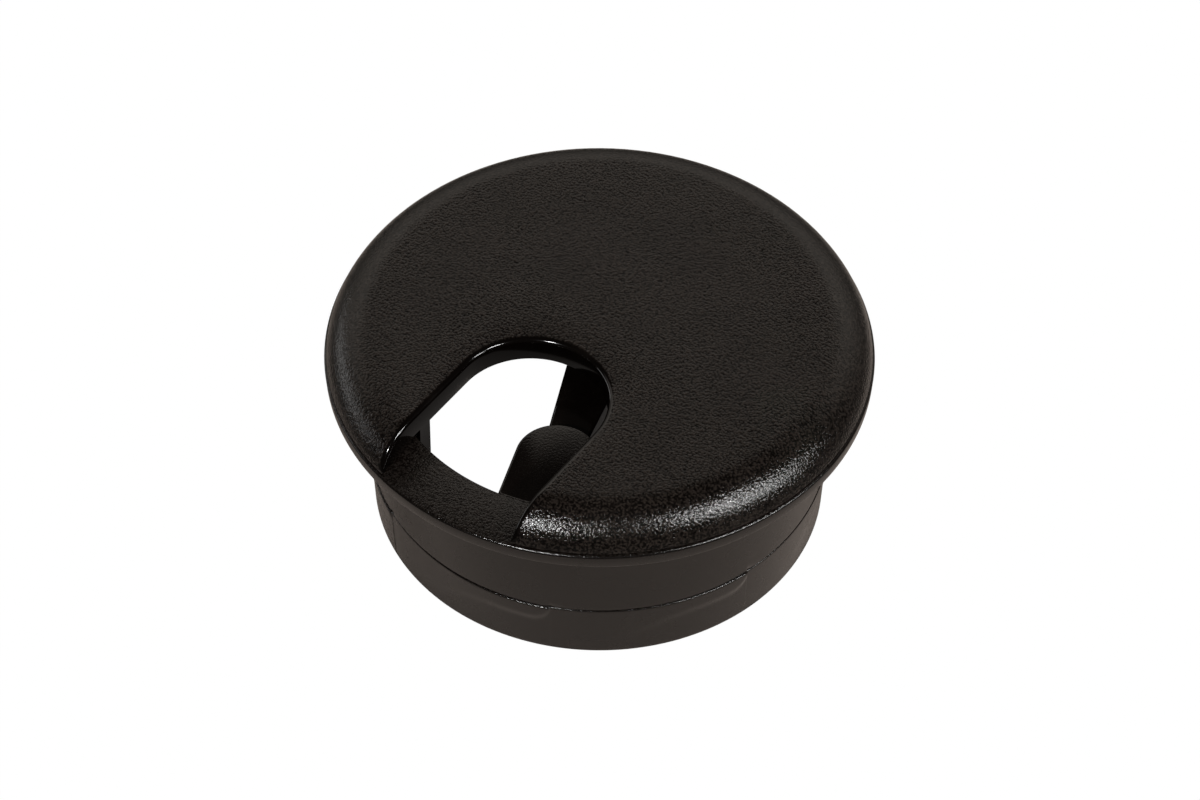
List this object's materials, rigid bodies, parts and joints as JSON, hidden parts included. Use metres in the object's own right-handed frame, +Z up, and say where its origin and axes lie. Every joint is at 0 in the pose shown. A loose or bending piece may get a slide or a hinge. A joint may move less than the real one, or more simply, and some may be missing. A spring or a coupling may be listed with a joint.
{
  "type": "desk grommet",
  "caption": "Round two-piece desk cable grommet: a flanged liner that drops into a hole in a desktop, and a turning cap with a U-shaped cable slot open at its rim.",
  "frame": {"origin": "centre of the liner's lower edge, on the grommet's axis", "axes": "+Z up along the axis, out of the desktop; the cap's slot opens towards -Y at rest"},
  "size_m": [0.07, 0.07, 0.0298],
  "materials": {
    "liner_plastic": "satin moulded black plastic with a fine grain on the flange and tongue",
    "cap_plastic": "black moulded plastic with a pebbled leather-like grain"
  },
  "bodies": {
    "liner": {"liner": "liner_plastic"},
    "cap": {"cap": "cap_plastic"}
  },
  "joints": [
    {"name": "cap_turn", "type": "hinge", "parent": "liner", "child": "cap", "pos_m": [0, 0, 0.0254], "axis": [0, 0, 1], "range_deg": [-37, 27]}
  ]
}
